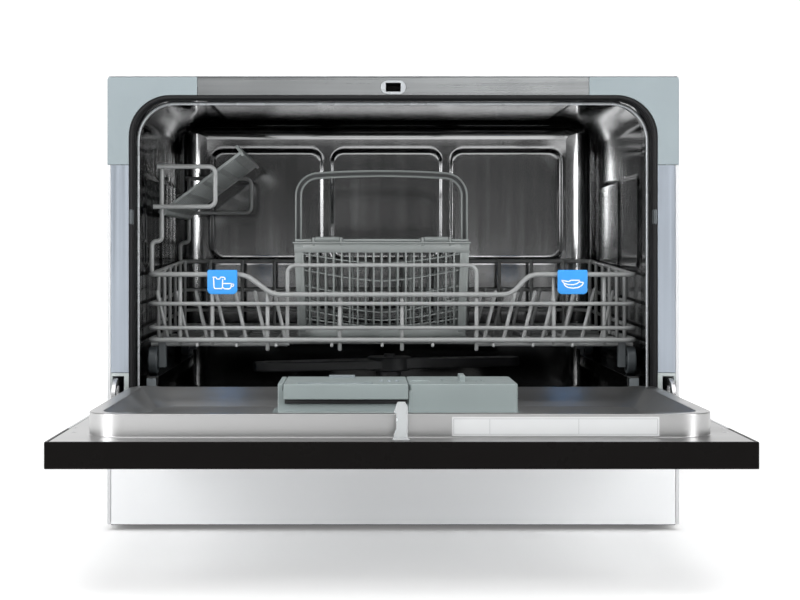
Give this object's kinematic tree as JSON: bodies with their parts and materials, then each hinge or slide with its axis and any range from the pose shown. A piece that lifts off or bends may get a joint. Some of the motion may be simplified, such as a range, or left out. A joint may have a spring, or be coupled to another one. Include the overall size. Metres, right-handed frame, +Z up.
{
  "type": "countertop dishwasher",
  "caption": "Countertop dishwasher with its drop-down door open: steel tub, wheeled wire rack, cutlery basket with lids, folding cup shelf, spray arm and detergent dispenser.",
  "frame": {"origin": "centre of the box around the whole object with its door open, on the plane the feet stand on", "axes": "+X to the viewer's right, -Y out of the open door towards the user, +Z up"},
  "size_m": [0.55, 0.806, 0.438],
  "materials": {
    "white_paint": "satin",
    "grey_paint": "satin",
    "rear_sheet": "satin",
    "frame_plastic": "satin",
    "stainless": "satin",
    "hinge_steel": "satin",
    "gasket_rubber": "matte",
    "bezel_chrome": "polished",
    "housing_plastic": "matte",
    "port_plastic": "satin",
    "grey_plastic": "satin",
    "basket_plastic": "satin",
    "dispenser_plastic": "satin",
    "release_plastic": "satin",
    "panel_black": "gloss",
    "window_black": "gloss",
    "button_silver": "satin",
    "board_green": "satin",
    "hook_plastic": "satin",
    "wire_coating": "satin",
    "tag_blue": "satin"
  },
  "bodies": {
    "cabinet": {"top_panel": "white_paint", "left_side_panel": "white_paint", "right_side_panel": "white_paint", "rear_panel": "rear_sheet", "base_tray": "housing_plastic", "feet": "housing_plastic", "plinth_panel": "white_paint", "front_top_rail": "grey_paint", "frame_corners": "frame_plastic", "side_posts": "grey_paint", "hinge_covers": "frame_plastic", "tub": "stainless", "door_gasket": "gasket_rubber", "latch_bezel": "bezel_chrome", "door_latch": "housing_plastic", "rack_rails": "stainless", "rail_stops": "grey_plastic", "sump": "housing_plastic", "filter_plate": "stainless", "softener_tank": "port_plastic", "wash_pump": "housing_plastic", "drain_pump": "housing_plastic", "inlet_valve": "port_plastic", "drain_spigot": "grey_plastic", "cord_gland": "housing_plastic", "hinge_brackets": "hinge_steel", "hinge_springs": "hinge_steel"},
    "door": {"door_outer_panel": "white_paint", "control_panel": "panel_black", "display_window": "window_black", "door_inner_pan": "stainless", "dispenser_base": "dispenser_plastic", "door_hook": "hook_plastic", "hinge_arms": "hinge_steel", "control_board": "board_green"},
    "rack": {"rack_floor": "wire_coating", "rack_front": "wire_coating", "rack_rear": "wire_coating", "rack_sides": "wire_coating", "rack_tines": "wire_coating", "rack_tags": "tag_blue", "wheel_clips": "grey_plastic", "shelf_loops": "wire_coating"},
    "filter_cup": {"filter_cup": "basket_plastic"},
    "salt_cap": {"salt_cap": "grey_plastic"},
    "spray_arm": {"spray_arm": "basket_plastic"},
    "power_button": {"power_button": "button_silver"},
    "programme_button": {"programme_button": "button_silver"},
    "start_button": {"start_button": "button_silver"},
    "dispenser_lid": {"dispenser_lid": "dispenser_plastic"},
    "lid_release": {"lid_release": "release_plastic"},
    "rinse_cap": {"rinse_cap": "dispenser_plastic"},
    "front_left_wheel": {"front_left_wheel": "grey_plastic"},
    "front_right_wheel": {"front_right_wheel": "grey_plastic"},
    "rear_left_wheel": {"rear_left_wheel": "grey_plastic"},
    "rear_right_wheel": {"rear_right_wheel": "grey_plastic"},
    "cup_shelf": {"cup_shelf": "basket_plastic"},
    "cutlery_basket": {"cutlery_basket": "basket_plastic"},
    "front_lid": {"front_lid": "basket_plastic"},
    "rear_lid": {"rear_lid": "basket_plastic"}
  },
  "joints": [
    {"name": "door_hinge", "type": "hinge", "parent": "cabinet", "child": "door", "pos_m": [0, -0.089, 0.122], "axis": [1, 0, 0], "range_deg": [-90, 0], "deforming": ["hinge_springs"]},
    {"name": "rack_slide", "type": "slide", "parent": "cabinet", "child": "rack", "axis": [0, -1, 0], "range_m": [0, 0.3]},
    {"name": "front_left_wheel_spin", "type": "hinge", "parent": "rack", "child": "front_left_wheel", "pos_m": [-0.238, -0.0275, 0.16], "axis": [1, 0, 0], "range_deg": [0, 1280]},
    {"name": "front_right_wheel_spin", "type": "hinge", "parent": "rack", "child": "front_right_wheel", "pos_m": [0.238, -0.0275, 0.16], "axis": [1, 0, 0], "range_deg": [0, 1280]},
    {"name": "rear_left_wheel_spin", "type": "hinge", "parent": "rack", "child": "rear_left_wheel", "pos_m": [-0.238, 0.271, 0.16], "axis": [1, 0, 0], "range_deg": [0, 1280]},
    {"name": "rear_right_wheel_spin", "type": "hinge", "parent": "rack", "child": "rear_right_wheel", "pos_m": [0.238, 0.271, 0.16], "axis": [1, 0, 0], "range_deg": [0, 1280]},
    {"name": "spray_spin", "type": "hinge", "parent": "cabinet", "child": "spray_arm", "pos_m": [0, 0.125, 0.146], "axis": [0, 0, 1], "continuous": true},
    {"name": "filter_turn", "type": "hinge", "parent": "cabinet", "child": "filter_cup", "pos_m": [0.078, 0.067, 0.1], "axis": [0, 0, 1], "range_deg": [0, 60]},
    {"name": "salt_cap_turn", "type": "hinge", "parent": "cabinet", "child": "salt_cap", "pos_m": [-0.145, 0.063, 0.108], "axis": [0, 0, 1], "range_deg": [0, 300]},
    {"name": "rinse_cap_turn", "type": "hinge", "parent": "door", "child": "rinse_cap", "pos_m": [0.0567, -0.231, 0.15], "axis": [0, 0, 1], "range_deg": [0, 90]},
    {"name": "lid_slide", "type": "slide", "parent": "door", "child": "dispenser_lid", "axis": [0, -1, 0], "range_m": [0, 0.035]},
    {"name": "release_press", "type": "slide", "parent": "dispenser_lid", "child": "lid_release", "axis": [0, 0, -1], "range_m": [0, 0.0015], "stiffness_N_per_m": 200},
    {"name": "power_press", "type": "slide", "parent": "door", "child": "power_button", "axis": [0, 0, 1], "range_m": [0, 0.0015], "stiffness_N_per_m": 200},
    {"name": "programme_press", "type": "slide", "parent": "door", "child": "programme_button", "axis": [0, 0, 1], "range_m": [0, 0.0015], "stiffness_N_per_m": 200},
    {"name": "start_press", "type": "slide", "parent": "door", "child": "start_button", "axis": [0, 0, 1], "range_m": [0, 0.0015], "stiffness_N_per_m": 200},
    {"name": "shelf_tilt", "type": "hinge", "parent": "rack", "child": "cup_shelf", "pos_m": [-0.2305, 0.105, 0.3088], "axis": [0, -1, 0], "range_deg": [-37, 48]},
    {"name": "basket_lift", "type": "slide", "parent": "rack", "child": "cutlery_basket", "axis": [0, 0, 1], "range_m": [0, 0.065]},
    {"name": "front_lid_hinge", "type": "hinge", "parent": "cutlery_basket", "child": "front_lid", "pos_m": [-0.01, -0.012, 0.2811], "axis": [1, 0, 0], "range_deg": [0, 100]},
    {"name": "rear_lid_hinge", "type": "hinge", "parent": "cutlery_basket", "child": "rear_lid", "pos_m": [-0.01, 0.059, 0.2811], "axis": [-1, 0, 0], "range_deg": [0, 100]}
  ],
  "couplings": [
    {"joint": "front_left_wheel_spin", "follows": "rack_slide", "rad_per_m": 74.074},
    {"joint": "front_right_wheel_spin", "follows": "rack_slide", "rad_per_m": 74.074},
    {"joint": "rear_left_wheel_spin", "follows": "rack_slide", "rad_per_m": 74.074},
    {"joint": "rear_right_wheel_spin", "follows": "rack_slide", "rad_per_m": 74.074}
  ]
}
